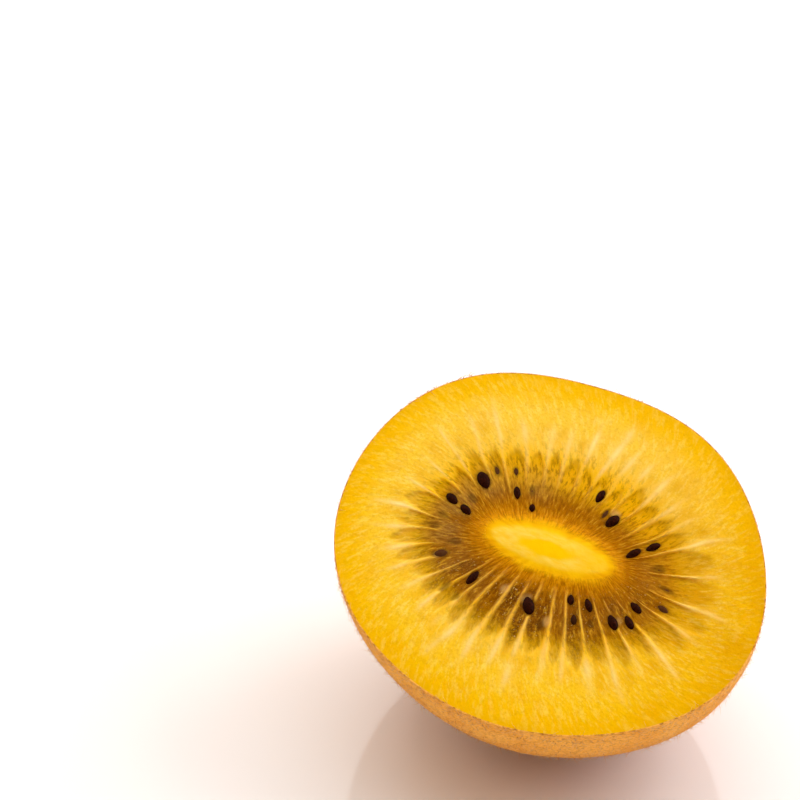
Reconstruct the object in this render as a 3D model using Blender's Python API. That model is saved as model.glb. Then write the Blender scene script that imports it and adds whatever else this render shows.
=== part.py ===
"""Half of a golden kiwi fruit, cut across, resting on its skin with the cut face up and leaning forwards.

Units are metres and +Z is up. The origin is the middle of the small flat spot that the fruit rests on.
Each piece is modelled in the fruit's own frame, with the cut at z = 0, +X along the cut's longer axis and
the stem end down, and an empty turns and lifts that frame into the resting pose.
"""

import math

import bmesh
import bpy
from mathutils import Matrix, Vector

MM = 0.001

# The half fruit
LONG_RADIUS = 29.0 * MM
SHORT_RADIUS = 25.0 * MM
HALF_LENGTH = 33.0 * MM
ROUNDING = 2.15
RIM_WAVES = ((3, 0.004, 0.0), (4, -0.005, -0.009), (5, 0.008, -0.006))

# How it rests: the way it faces, how far it leans forwards, and the turn about its own axis
HEADING = math.radians(-7.5)
LEAN = math.radians(23.0)
TURN = math.radians(-20.5)
FLAT_DEPTH = 0.6 * MM

# Skin and the gap that every two pieces keep
SKIN_WALL = 0.7 * MM
GAP = 0.3 * MM

# Stem end, in the middle of the bowl's bottom
SCAR_RADIUS = 1.7 * MM
SCAR_SINK = 0.2 * MM
LIP_RADIUS = 2.6 * MM
LIP_WIDTH = 0.8 * MM
LIP_RISE = 0.3 * MM

# Core
CORE_LONG = 8.8 * MM
CORE_SHORT = 3.1 * MM
CORE_LENGTH = 28.0 * MM
CORE_TURN = math.radians(6.5)
CORE_CROWN = 0.3 * MM
CORE_TIP_GAP = 1.2 * MM

# Rays: the walls between the seed pockets, in degrees round the cut
RAYS = (
    2, 18, 34, 45, 54, 63, 71, 78, 85, 93, 102, 109, 119, 129, 139, 150, 162, 175,
    189, 200, 210, 219, 228, 238, 246, 252, 261, 269, 277, 287, 295, 304, 314, 323, 333, 347,
)
POCKET_DEPTH = 0.35 * MM
POCKET_REACHES = ((0.0, 0.0), (0.08, 0.7), (0.3, 1.0), (0.45, 0.9), (0.56, 0.5), (0.68, 0.0), (1.0, 0.0))

# Seeds: degrees round the cut, and the reach from the core's edge (0) to the fruit's edge (1)
SEEDS = (
    (5, 0.36), (19, 0.30), (33, 0.17), (36, 0.31), (63, 0.21), (70, 0.22), (79, 0.31),
    (114, 0.10), (115, 0.21), (124, 0.19), (124, 0.33), (134, 0.34), (144, 0.30), (158, 0.22),
    (170, 0.19), (170, 0.31), (185, 0.31), (195, 0.36), (207, 0.22), (215, 0.33), (235, 0.43),
    (238, 0.26), (242, 0.43), (273, 0.24), (282, 0.33), (297, 0.14), (299, 0.27), (308, 0.30),
    (309, 0.17), (321, 0.30), (330, 0.33), (340, 0.27), (352, 0.39),
)
SEED_LENGTH = 2.2 * MM
SEED_WIDTH = 1.25 * MM
SEED_HEIGHT = 1.1 * MM
SEED_CENTRE = -0.3 * MM

# Steps of the surfaces: shares of the way from the rim (0) to the bottom (1), and steps round
INNER_LEVELS = [step / 9 for step in range(9)]
OUTER_LEVELS = [step / 14 for step in range(13)] + [0.91, 0.928, 0.943, 0.957, 0.974]
CORE_LEVELS = (0.0, 0.35, 0.7)
SKIN_SEGMENTS = 72
CORE_SEGMENTS = 36


def clear_scene():
    for thing in list(bpy.data.objects):
        bpy.data.objects.remove(thing, do_unlink=True)


def material(name, colour, roughness):
    made = bpy.data.materials.new(name)
    made.use_nodes = True
    shader = made.node_tree.nodes["Principled BSDF"]
    shader.inputs["Base Color"].default_value = (*colour, 1.0)
    shader.inputs["Roughness"].default_value = roughness
    shader.inputs["Metallic"].default_value = 0.0
    return made


def rim_point(turn, inset=0.0):
    """The point of the cut's outline at this turn round the fruit, moved in towards the axis by the inset."""
    angle = math.atan2(SHORT_RADIUS * math.sin(turn), LONG_RADIUS * math.cos(turn))
    oval = 1 / math.hypot(math.cos(angle) / LONG_RADIUS, math.sin(angle) / SHORT_RADIUS)
    waves = sum(c * math.cos(n * angle) + s * math.sin(n * angle) for n, c, s in RIM_WAVES)
    radius = oval * (1 + waves) - inset
    return Vector((radius * math.cos(angle), radius * math.sin(angle), 0.0))


def core_point(turn, inset=0.0):
    """The point of the core's oval outline at this turn."""
    point = Vector(((CORE_LONG - inset) * math.cos(turn), (CORE_SHORT - inset) * math.sin(turn), 0.0))
    point.rotate(Matrix.Rotation(CORE_TURN, 3, "Z"))
    return point


def bowl_level(share):
    """Width and depth of the rounded bowl, as parts of its full size, this share of the way from its rim."""
    angle = share * math.pi / 2
    return math.cos(angle) ** (2 / ROUNDING), math.sin(angle) ** (2 / ROUNDING)


def stem_end_rise(distance):
    """Outward rise of the skin near the stem end: a low lip round a sunk scar."""
    lip = LIP_RISE * math.exp(-((distance - LIP_RADIUS) / LIP_WIDTH) ** 2)
    scar = SCAR_SINK / (1 + (distance / SCAR_RADIUS) ** 6)
    return lip - scar


def resting_frame():
    """The fruit's frame in the world: turned as it rests, with its lowest point just below the origin."""
    turned = Matrix.Rotation(HEADING, 4, "Z") @ Matrix.Rotation(LEAN, 4, "X") @ Matrix.Rotation(TURN, 4, "Z")
    lowest = Vector((0.0, 0.0, 0.0))
    for degree in range(360):
        rim = rim_point(math.radians(degree))
        for step in range(200):
            wide, deep = bowl_level(step / 200)
            point = turned @ Vector((rim.x * wide, rim.y * wide, -HALF_LENGTH * deep))
            if point.z < lowest.z:
                lowest = point
    return Matrix.Translation(Vector((0.0, 0.0, -FLAT_DEPTH)) - lowest) @ turned


FRAME = resting_frame()


def add_ring(bm, points):
    """Adds a closed ring of points; returns its verts in order."""
    return [bm.verts.new(point) for point in points]


def neighbours(ring):
    return zip(ring, ring[1:] + ring[:1])


def join_rings(bm, rings):
    """Joins each ring to the next with a band of four-sided faces."""
    for upper, lower in zip(rings, rings[1:]):
        for (a, b), (c, d) in zip(neighbours(upper), neighbours(lower)):
            bm.faces.new((a, b, d, c))


def close_ring(bm, ring, tip):
    """Closes a ring with a fan of faces to one point."""
    middle = bm.verts.new(tip)
    for a, b in neighbours(ring):
        bm.faces.new((a, b, middle))


def flatten_bottom(bm, faces, height):
    """Cuts these faces level at this height above the resting surface, and closes the cut."""
    to_fruit = FRAME.inverted()
    down = to_fruit.to_3x3() @ Vector((0.0, 0.0, -1.0))
    edges = {edge for face in faces for edge in face.edges}
    verts = {vert for face in faces for vert in face.verts}
    cut = bmesh.ops.bisect_plane(
        bm,
        geom=[*faces, *edges, *verts],
        dist=1e-7,
        plane_co=to_fruit @ Vector((0.0, 0.0, height)),
        plane_no=down,
        clear_outer=True,
    )
    border = [item for item in cut["geom_cut"] if isinstance(item, bmesh.types.BMEdge)]
    bmesh.ops.edgeloop_fill(bm, edges=border)


def add_bowl(bm, turns, levels, inset, height, rim_ring=None, rise=None):
    """Adds the bowl-shaped surface that lies this inset inside the fruit's outside, level at this height."""
    depth = HALF_LENGTH - inset
    before = set(bm.faces)
    rings = [rim_ring] if rim_ring else []
    tip = -depth - (rise(0.0) if rise else 0.0)
    for level in levels[len(rings):]:
        wide, deep = bowl_level(level)
        points = []
        for turn in turns:
            rim = rim_point(turn, inset) * wide
            lift = rise(rim.length) if rise else 0.0
            points.append((rim.x, rim.y, -depth * deep - lift))
        rings.append(add_ring(bm, points))
    join_rings(bm, rings)
    close_ring(bm, rings[-1], (0.0, 0.0, tip))
    flatten_bottom(bm, set(bm.faces) - before, height)
    return rings[0]


def even_turns(count):
    return [2 * math.pi * step / count for step in range(count)]


def finish(name, bm, look, parent):
    """Makes one node from the mesh, in the fruit's frame."""
    bmesh.ops.recalc_face_normals(bm, faces=bm.faces)
    mesh = bpy.data.meshes.new(name)
    bm.to_mesh(mesh)
    bm.free()
    mesh.shade_smooth()
    mesh.set_sharp_from_angle(angle=math.radians(40))
    mesh.materials.append(look)
    node = bpy.data.objects.new(name, mesh)
    node.parent = parent
    bpy.context.collection.objects.link(node)
    return node


def make_skin(parent, look):
    """The skin: an outer and an inner bowl joined round the cut, with the stem end on the outer one."""
    bm = bmesh.new()
    turns = even_turns(SKIN_SEGMENTS)
    outer = add_bowl(bm, turns, OUTER_LEVELS, 0.0, 0.0, rise=stem_end_rise)
    inner = add_bowl(bm, turns, INNER_LEVELS, SKIN_WALL, SKIN_WALL)
    join_rings(bm, [outer, inner])
    return finish("skin", bm, look, parent)


def ray_turns():
    """Turns round the cut, three to a pocket, each with whether it is the pocket's ray."""
    turns = []
    for start, end in zip(RAYS, RAYS[1:] + (RAYS[0] + 360,)):
        for third in range(3):
            turns.append((math.radians(start + (end - start) * third / 3), third == 0))
    return turns


def make_flesh(parent, look):
    """The flesh: a rayed cut face with sunk seed pockets, a rounded underside, and a hollow for the core."""
    bm = bmesh.new()
    turns = ray_turns()
    inset = SKIN_WALL + GAP
    face_rings = []
    for reach, sunk in POCKET_REACHES:
        points = []
        for turn, is_ray in turns:
            point = core_point(turn).lerp(rim_point(turn, inset), reach)
            point.z = 0.0 if is_ray else -POCKET_DEPTH * sunk
            points.append(point)
        face_rings.append(add_ring(bm, points))
    join_rings(bm, face_rings)

    plain_turns = [turn for turn, is_ray in turns]
    add_bowl(bm, plain_turns, INNER_LEVELS, inset, inset, rim_ring=face_rings[-1])

    hollow_rings = [face_rings[0]]
    for level in CORE_LEVELS[1:]:
        wide, deep = bowl_level(level)
        points = [core_point(turn) * wide + Vector((0.0, 0.0, -CORE_LENGTH * deep)) for turn in plain_turns]
        hollow_rings.append(add_ring(bm, points))
    join_rings(bm, hollow_rings)
    close_ring(bm, hollow_rings[-1], (0.0, 0.0, -CORE_LENGTH))
    return finish("flesh", bm, look, parent)


def make_core(parent, look):
    """The core: a long oval body with a low crown on the cut face."""
    bm = bmesh.new()
    turns = even_turns(CORE_SEGMENTS)
    length = CORE_LENGTH - CORE_TIP_GAP
    shoulder = [core_point(turn, GAP) * 0.6 + Vector((0.0, 0.0, CORE_CROWN * 0.75)) for turn in turns]
    rings = [add_ring(bm, shoulder)]
    for level in CORE_LEVELS:
        wide, deep = bowl_level(level)
        points = [core_point(turn, GAP) * wide + Vector((0.0, 0.0, -length * deep)) for turn in turns]
        rings.append(add_ring(bm, points))
    join_rings(bm, rings)
    close_ring(bm, rings[0], (0.0, 0.0, CORE_CROWN))
    close_ring(bm, rings[-1], (0.0, 0.0, -length))
    return finish("core", bm, look, parent)


def make_seed(turn, reach, look, holder, parent):
    """One seed, an egg shape lying along its ray and half sunk in the flesh."""
    inner, outer = core_point(turn), rim_point(turn, SKIN_WALL + GAP)
    along = outer - inner
    bm = bmesh.new()
    bmesh.ops.create_uvsphere(bm, u_segments=6, v_segments=5, radius=0.5)
    bmesh.ops.rotate(bm, verts=bm.verts, matrix=Matrix.Rotation(math.pi / 2, 3, "Y"))
    bmesh.ops.scale(bm, verts=bm.verts, vec=(SEED_LENGTH, SEED_WIDTH, SEED_HEIGHT))
    bmesh.ops.rotate(bm, verts=bm.verts, matrix=Matrix.Rotation(math.atan2(along.y, along.x), 3, "Z"))
    bmesh.ops.translate(bm, verts=bm.verts, vec=inner + along * reach + Vector((0.0, 0.0, SEED_CENTRE)))
    mesh = bpy.data.meshes.new("seed")
    bm.to_mesh(mesh)
    bm.free()
    mesh.materials.append(look)
    seed = bpy.data.objects.new("seed", mesh)
    seed.parent = parent
    holder.objects.link(seed)


def fuse_seeds(flesh, look, parent):
    """Places the seeds and joins them all to the flesh in one union."""
    holder = bpy.data.collections.new("seeds")
    bpy.context.scene.collection.children.link(holder)
    for degree, reach in SEEDS:
        make_seed(math.radians(degree), reach, look, holder, parent)
    union = flesh.modifiers.new("seeds", "BOOLEAN")
    union.operation = "UNION"
    union.solver = "EXACT"
    union.material_mode = "TRANSFER"
    union.operand_type = "COLLECTION"
    union.collection = holder
    with bpy.context.temp_override(object=flesh, active_object=flesh, selected_objects=[flesh]):
        bpy.ops.object.modifier_apply(modifier=union.name)
    for seed in list(holder.objects):
        bpy.data.objects.remove(seed, do_unlink=True)
    bpy.data.collections.remove(holder)


def main():
    clear_scene()
    fruit = bpy.data.objects.new("fruit_frame", None)
    fruit.matrix_world = FRAME
    bpy.context.collection.objects.link(fruit)

    make_skin(fruit, material("kiwi_skin", (0.52, 0.24, 0.06), 0.55))
    flesh = make_flesh(fruit, material("golden_flesh", (0.93, 0.48, 0.02), 0.3))
    make_core(fruit, material("pale_core", (0.96, 0.66, 0.12), 0.35))
    fuse_seeds(flesh, material("seed_coat", (0.03, 0.015, 0.01), 0.3), fruit)


main()
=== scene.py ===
# %% [markdown]
# # Half a golden kiwi fruit
# The fruit was cut across its middle, and one half rests on its skin with the cut face up and leaning
# towards the camera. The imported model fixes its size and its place. This script dresses it: a thin brown
# skin with short hairs, golden flesh with pale rays and seed pockets, dark seeds, and a pale core.
# Everything is in metres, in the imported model's own frame, and the origin is the spot it rests on.

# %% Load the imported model
import math

import bpy
import numpy as np
from mathutils import Matrix, Vector, noise


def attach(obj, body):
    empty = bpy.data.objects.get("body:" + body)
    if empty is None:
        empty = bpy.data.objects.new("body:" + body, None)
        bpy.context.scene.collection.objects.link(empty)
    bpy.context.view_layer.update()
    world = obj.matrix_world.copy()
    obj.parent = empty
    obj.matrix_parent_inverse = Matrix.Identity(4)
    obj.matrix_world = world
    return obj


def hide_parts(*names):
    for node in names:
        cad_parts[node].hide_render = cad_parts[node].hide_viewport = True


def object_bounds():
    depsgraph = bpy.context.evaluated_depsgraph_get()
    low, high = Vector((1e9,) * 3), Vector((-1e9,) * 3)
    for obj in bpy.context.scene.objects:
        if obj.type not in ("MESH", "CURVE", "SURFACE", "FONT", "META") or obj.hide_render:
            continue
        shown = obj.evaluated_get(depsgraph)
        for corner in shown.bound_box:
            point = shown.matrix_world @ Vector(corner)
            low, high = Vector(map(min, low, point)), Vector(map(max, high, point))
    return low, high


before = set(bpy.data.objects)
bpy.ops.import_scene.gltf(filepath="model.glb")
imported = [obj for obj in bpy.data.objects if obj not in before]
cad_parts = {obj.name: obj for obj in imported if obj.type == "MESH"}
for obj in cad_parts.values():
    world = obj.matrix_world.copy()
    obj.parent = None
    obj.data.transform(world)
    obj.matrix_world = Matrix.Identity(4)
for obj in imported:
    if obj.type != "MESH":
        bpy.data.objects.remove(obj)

cad_box = [list(corner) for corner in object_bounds()]
print("nodes", sorted(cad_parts), "box", cad_box)

# %% [markdown]
# ## The fruit's own frame
# The half is easiest to shape with the cut at z = 0, its longer width along X and the stem end down.
# That frame is then turned and lifted into the resting pose in one step, so these sizes repeat the packed
# model's: two radii of the oval cut, the half's length, and how square the bowl's curve is.

# %% Sizes and the fruit's frame
MM = 0.001
LONG_RADIUS = 29.0 * MM
SHORT_RADIUS = 25.0 * MM
HALF_LENGTH = 33.0 * MM
ROUNDING = 2.15
RIM_WAVES = ((3, 0.004, 0.0), (4, -0.005, -0.009), (5, 0.008, -0.006))
HEADING = math.radians(-7.5)
LEAN = math.radians(23.0)
TURN = math.radians(-20.5)
FLAT_DEPTH = 0.6 * MM


def rim_points(turn, inset=0.0):
    """Points of the cut's outline, at these turns round the fruit, moved in by the inset."""
    angle = np.arctan2(SHORT_RADIUS * np.sin(turn), LONG_RADIUS * np.cos(turn))
    radius = 1 / np.hypot(np.cos(angle) / LONG_RADIUS, np.sin(angle) / SHORT_RADIUS)
    radius = radius * (1 + sum(c * np.cos(n * angle) + s * np.sin(n * angle) for n, c, s in RIM_WAVES))
    return np.stack([np.cos(angle), np.sin(angle)], -1) * (radius - inset)[..., None]


def bowl_level(share):
    """Width and depth of the bowl, as parts of its full size, this share of the way from its rim."""
    wide = np.clip(np.cos(share * np.pi / 2), 0, 1) ** (2 / ROUNDING)
    return wide, np.sin(share * np.pi / 2) ** (2 / ROUNDING)


turned = Matrix.Rotation(HEADING, 4, "Z") @ Matrix.Rotation(LEAN, 4, "X") @ Matrix.Rotation(TURN, 4, "Z")
turns, shares = np.meshgrid(np.radians(np.arange(360)), np.arange(200) / 200)
wide, deep = bowl_level(shares)
bowl = np.concatenate([rim_points(turns) * wide[..., None], -HALF_LENGTH * deep[..., None]], -1)
bowl = bowl.reshape(-1, 3) @ np.array(turned.to_3x3()).T
lowest = Vector(bowl[bowl[:, 2].argmin()])
FRUIT = Matrix.Translation(Vector((0, 0, -FLAT_DEPTH)) - lowest) @ turned
FACE_CENTRE = FRUIT.translation
print("centre of the cut, mm", [round(value / MM, 2) for value in FACE_CENTRE])

# %% [markdown]
# ## Small tools for shaping
# A piece starts as a primitive. Its points are read into an array, moved by a rule as a sculptor moves
# clay, and written back. Facts about a place on the fruit, such as how far it is from the core, are kept
# on the points as named attributes, and the materials read them.

# %% Tools for shaping
NOISE_STEPS = (7.3, 3.1, 5.7)


def select_nothing():
    bpy.ops.object.select_all(action="DESELECT")


def read_points(piece):
    points = np.empty(len(piece.data.vertices) * 3)
    piece.data.vertices.foreach_get("co", points)
    return points.reshape(-1, 3)


def write_points(piece, points):
    piece.data.vertices.foreach_set("co", np.ascontiguousarray(points, dtype=float).ravel())
    piece.data.update()


def keep_fact(piece, name, values):
    """Stores one number, or one vector, for each point of the piece."""
    values = np.asarray(values, dtype=float)
    kind, field = ("FLOAT", "value") if values.ndim == 1 else ("FLOAT_VECTOR", "vector")
    piece.data.attributes.new(name, kind, "POINT").data.foreach_set(field, values.ravel())


def wander(points, scale, seed, octaves=1):
    """Smooth noise from about -1 to 1 at the points. At a scale of 1 it changes over about one unit."""
    shift = Vector([seed * step for step in NOISE_STEPS])
    if octaves > 1:
        return np.array([noise.fractal(Vector(p) * scale + shift, 1.0, 2.0, octaves) for p in points])
    return np.array([noise.noise(Vector(p) * scale + shift) for p in points])


def smooth_step(value, low, high):
    """0 up to low, 1 from high on, and a smooth rise between them."""
    share = np.clip((value - low) / (high - low), 0, 1)
    return share * share * (3 - 2 * share)


def read_fact(piece, name):
    values = np.empty(len(piece.data.vertices))
    piece.data.attributes[name].data.foreach_get("value", values)
    return values


def select_ring(piece, test):
    """In edit mode, selects the edges between the points whose fact passes the test."""
    bpy.ops.mesh.select_mode(type="EDGE")
    bpy.ops.mesh.select_all(action="DESELECT")
    bpy.ops.object.mode_set(mode="OBJECT")
    chosen = test()
    ends = np.empty(len(piece.data.edges) * 2, dtype=int)
    piece.data.edges.foreach_get("vertices", ends)
    piece.data.vertices.foreach_set("select", chosen)
    piece.data.edges.foreach_set("select", chosen[ends.reshape(-1, 2)].all(1))
    bpy.ops.object.mode_set(mode="EDIT")


def settle(piece):
    """Turns the faces outwards, and puts the piece where the fruit rests."""
    bpy.ops.object.mode_set(mode="EDIT")
    bpy.ops.mesh.select_all(action="SELECT")
    bpy.ops.mesh.normals_make_consistent(inside=False)
    bpy.ops.object.mode_set(mode="OBJECT")
    keep_fact(piece, "fruit", read_points(piece) / MM)
    piece.data.transform(FRUIT)
    bpy.ops.object.shade_smooth_by_angle(angle=math.radians(50))
    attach(piece, "root")
    print(piece.name, "has", sum(len(face.vertices) - 2 for face in piece.data.polygons), "triangles")


# %% [markdown]
# ## Skin
# The skin of a golden kiwi fruit is a thin, dry, leathery peel, smooth enough to rub bare in places. It
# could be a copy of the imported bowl, but that one's long faces are too coarse for dimples and for the
# wrinkled stem end. So it is a sphere, cut in half with the bisect tool and pushed out to the fruit's own
# curve. At its bottom are a low lip round a sunk scar and a ring of faint pleats, and it is pitted all over.

# %% Shape the skin
SKIN_WALL = 0.14 * MM
SCAR_RADIUS = 1.7 * MM
SCAR_SINK = 0.2 * MM
LIP_RADIUS = 2.6 * MM
LIP_WIDTH = 0.8 * MM
LIP_RISE = 0.3 * MM
PLEATS = 11
PLEAT_RADIUS = 4.6 * MM
PLEAT_WIDTH = 2.2 * MM
PLEAT_RISE = 0.12 * MM
PITS_PER_MM = 0.45
PIT_DEPTH = 0.06 * MM

select_nothing()
bpy.ops.mesh.primitive_uv_sphere_add(segments=320, ring_count=180, radius=1.0)
skin = bpy.context.object
skin.name = "skin_peel"
bpy.ops.object.mode_set(mode="EDIT")
bpy.ops.mesh.bisect(plane_co=(0, 0, 0), plane_no=(0, 0, 1), clear_outer=True)
bpy.ops.object.mode_set(mode="OBJECT")

ball = read_points(skin)
turn = np.arctan2(ball[:, 1], ball[:, 0])
share = np.arcsin(np.clip(-ball[:, 2], 0, 1)) / (np.pi / 2)
wide, deep = bowl_level(share)
flat = rim_points(turn) * wide[:, None]
from_axis = np.hypot(flat[:, 0], flat[:, 1])
lip = LIP_RISE * np.exp(-(((from_axis - LIP_RADIUS) / LIP_WIDTH) ** 2))
scar = 1 / (1 + (from_axis / SCAR_RADIUS) ** 6)
fold = np.cos(PLEATS * turn + 2 * np.sin(3 * turn))
pleat = PLEAT_RISE * fold * np.exp(-(((from_axis - PLEAT_RADIUS) / PLEAT_WIDTH) ** 2))
points = np.column_stack([flat, -HALF_LENGTH * deep])
pits = np.clip(0.5 + 0.7 * wander(points / MM, PITS_PER_MM, 1, octaves=3), 0, 1)
pits *= PIT_DEPTH * smooth_step(share, 0.0, 0.03)
outward = points / np.linalg.norm(points, axis=1)[:, None]
points = points + outward * (lip - SCAR_SINK * scar + pleat - pits)[:, None]
write_points(skin, points)
keep_fact(skin, "scar", scar)
keep_fact(skin, "lip", np.clip(lip / LIP_RISE, 0, 1))
keep_fact(skin, "share", share)
print("skin", len(points), "points, pits up to", round(pits.max() / MM, 3), "mm deep")

# %% [markdown]
# The bowl is pressed flat at z = 0 by lifting what lies below the table up to it, as the weight of the
# fruit does, and a Solidify modifier gives the skin its wall.

# %% Press the skin flat and give it a wall
def press_flat(piece, height):
    """Lifts what lies lower than this height, over the table, up to it."""
    world = np.array(FRUIT)
    points = read_points(piece) @ world[:3, :3].T + world[:3, 3]
    points[:, 2] = np.maximum(points[:, 2], height)
    write_points(piece, (points - world[:3, 3]) @ world[:3, :3])


press_flat(skin, 0.0)
wall = skin.modifiers.new("wall", "SOLIDIFY")
wall.thickness = SKIN_WALL
wall.offset = -1
bpy.ops.object.modifier_apply(modifier=wall.name)
settle(skin)
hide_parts("skin")

# %% [markdown]
# ## Map of the cut face
# Every place on the cut has two coordinates: its turn round the fruit, and its reach from the core's edge
# (0) to the skin (1). The pale rays are the walls between the seed pockets, at the turns below. Short lists
# of a turn in degrees and the value there say where the pockets and the brown gel in them end, where the
# rays start and how far they lean, and how much gel there is. The last four say where the pockets are
# golden or greyish, where the flesh outside them is misty, and on which side painted shade darkens the cut.

# %% Rays and pockets
CORE_LONG = 8.8 * MM
CORE_SHORT = 3.1 * MM
CORE_TURN = math.radians(6.5)
RAYS = (
    2, 18, 34, 45, 54, 63, 71, 78, 85, 93, 102, 109, 119, 129, 139, 150, 162, 175,
    189, 200, 210, 219, 228, 238, 246, 252, 261, 269, 277, 287, 295, 304, 314, 323, 333, 347,
)
POCKET_TIPS = (
    (0, 0.70), (20, 0.68), (35, 0.57), (50, 0.46), (100, 0.43), (130, 0.50), (160, 0.48),
    (190, 0.62), (230, 0.58), (270, 0.55), (310, 0.55), (340, 0.64), (360, 0.70),
)
GEL_TIPS = (
    (0, 0.42), (30, 0.32), (60, 0.25), (90, 0.22), (115, 0.28), (150, 0.30), (170, 0.36),
    (200, 0.44), (230, 0.48), (270, 0.47), (310, 0.49), (340, 0.52), (360, 0.42),
)
RAY_STARTS = (
    (0, 0.25), (30, 0.12), (60, 0.15), (90, 0.22), (130, 0.22), (160, 0.32), (215, 0.30),
    (235, 0.06), (300, 0.05), (345, 0.20), (360, 0.25),
)
RAY_SLANTS = (
    (0, 6.0), (30, 9.0), (55, 6.0), (80, 1.0), (150, 0.0), (215, 3.0), (240, 7.0), (262, 3.0),
    (300, 1.0), (345, 2.0), (360, 6.0),
)
GEL_AMOUNTS = (
    (0, 1.2), (30, 0.9), (60, 0.8), (90, 0.7), (110, 0.5), (135, 0.4), (180, 0.8), (215, 1.1), (240, 1.7),
    (300, 2.2), (345, 2.2), (360, 1.2),
)
GOLDEN_TURNS = (
    (0, 0.2), (30, 0.4), (50, 1.0), (75, 1.0), (105, 1.0), (135, 0.6), (200, 0.15), (240, 0.0), (360, 0.2),
)
GREY_TURNS = (
    (0, 0.5), (40, 0.1), (95, 0.1), (112, 0.7), (130, 0.4), (150, 0.9), (222, 1.0), (235, 0.3), (360, 0.4),
)
MIST_TURNS = ((0, 0.0), (40, 0.3), (75, 0.8), (130, 0.7), (185, 0.4), (230, 0.2), (300, 0.1), (360, 0.0))
# How strongly painted shade darkens the cut at each turn, on the side where less light falls; the pocket ends
# are hazier there too.
SHADED_SIDE_TURNS = ((0, 1.0), (40, 0.7), (70, 0.15), (110, 0.0), (300, 0.05), (330, 0.45), (360, 1.0))
RAY_WAVER = 1.5  # degrees
LEAN_END = 0.65  # reach


def by_turn(degrees, table):
    """A value that changes evenly round the fruit from place to place of a short list."""
    return np.interp(degrees, *zip(*table))


def core_points(turn, scale=1.0):
    """Points of the core's oval outline."""
    x, y = CORE_LONG * np.cos(turn) * scale, CORE_SHORT * np.sin(turn) * scale
    cos, sin = math.cos(CORE_TURN), math.sin(CORE_TURN)
    return np.stack([x * cos - y * sin, x * sin + y * cos], -1)


def face_points(turn, reach, inset):
    """Places on the cut from their turn and reach."""
    inner, outer = core_points(turn), rim_points(turn, inset)
    return inner + (outer - inner) * reach[:, None]


def pocket_facts(turn, reach):
    """For places on the cut: the pocket, how far across it, the distance to a ray, and that ray."""
    circle = np.column_stack([np.cos(turn), np.sin(turn), reach])
    slant = by_turn(np.degrees(turn), RAY_SLANTS) * np.clip(1 - reach / LEAN_END, 0, 1)
    degrees = np.degrees(turn) + slant + RAY_WAVER * wander(circle * (9, 9, 3), 1.0, 2)
    edges = np.array(RAYS + (RAYS[0] + 360,), dtype=float)
    degrees = (degrees - edges[0]) % 360 + edges[0]
    pocket = np.searchsorted(edges, degrees, side="right") - 1
    width = edges[pocket + 1] - edges[pocket]
    share = (degrees - edges[pocket]) / width
    radius = np.linalg.norm(face_points(turn, reach, 0.0), axis=1)
    to_ray = np.minimum(share, 1 - share) * np.radians(width) * radius
    nearest = np.where(share < 0.5, pocket, (pocket + 1) % len(RAYS))
    return pocket, share, to_ray, nearest


print(len(RAYS), "rays, the narrowest pocket is", min(np.diff(RAYS)), "degrees wide")

# %% [markdown]
# ## The core's fade
# The core has no edge in the real fruit: its pale tissue fades into the flesh in fine streaks. Both pieces
# read the same rule for it, so that their colours meet. In its middle lies a lens of deeper yellow.

# %% Fade and lens of the core
FADE_START = -1.1  # mm outside the core's outline
FADE_END = 1.0
STREAK_LENGTH = 0.55
LENS_CENTRE = (-0.3 * MM, -0.1 * MM)
LENS_RADII = (4.0 * MM, 1.2 * MM)


def core_frame(place):
    """Places on the cut along and across the core, in metres."""
    cos, sin = math.cos(CORE_TURN), math.sin(CORE_TURN)
    return place[:, 0] * cos + place[:, 1] * sin, place[:, 1] * cos - place[:, 0] * sin


def core_distance(place):
    """Distance in mm outside the core's outline, and the direction round it."""
    along, across = core_frame(place)
    x = along / CORE_LONG
    y = across / CORE_SHORT
    size = np.maximum(np.hypot(x, y), 1e-6)
    slope = np.maximum(np.hypot(x / CORE_LONG, y / CORE_SHORT), 1e-6)
    return (size - 1) * size / slope / MM, np.arctan2(y, x)


def core_glow(place):
    """How pale the pith is at these places: 1 well inside the core, falling to 0 past its edge."""
    distance, turn = core_distance(place)
    streaks = wander(np.column_stack([np.cos(turn) * 12, np.sin(turn) * 12, distance * 0.25]), 1.0, 8)
    streaks = streaks + 0.7 * wander(np.column_stack([place, place[:, 0]]) / MM, 0.5, 18)
    ends = 0.5 * np.cos(turn) ** 8
    return 1 - smooth_step(distance + STREAK_LENGTH * streaks + ends, FADE_START, FADE_END)


def core_lens(place):
    """The deeper yellow lens in the middle of the core."""
    x, y = core_frame(place)
    size = np.hypot((x - LENS_CENTRE[0]) / LENS_RADII[0], (y - LENS_CENTRE[1]) / LENS_RADII[1])
    ripple = 0.12 * wander(np.column_stack([place, place[:, 0]]) / MM, 0.8, 9)
    return 1 - smooth_step(size + ripple, 0.7, 1.2)


# %% [markdown]
# ## Flesh
# The flesh is one firm, wet body. Its cut face carries all of the fruit's pattern, so it needs a fine,
# even mesh that follows the rays. A flat grid is rolled up into a disc: its columns become turns and its
# rows become reaches. The pockets sink a little between the rays, as they do in a cut fruit when the gel
# settles, and the face keeps the faint grain of the torn cells.

# %% Roll a grid into the cut face
FLESH_INSET = SKIN_WALL + 0.01 * MM
COLUMNS = 720
ROWS = 104

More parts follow.
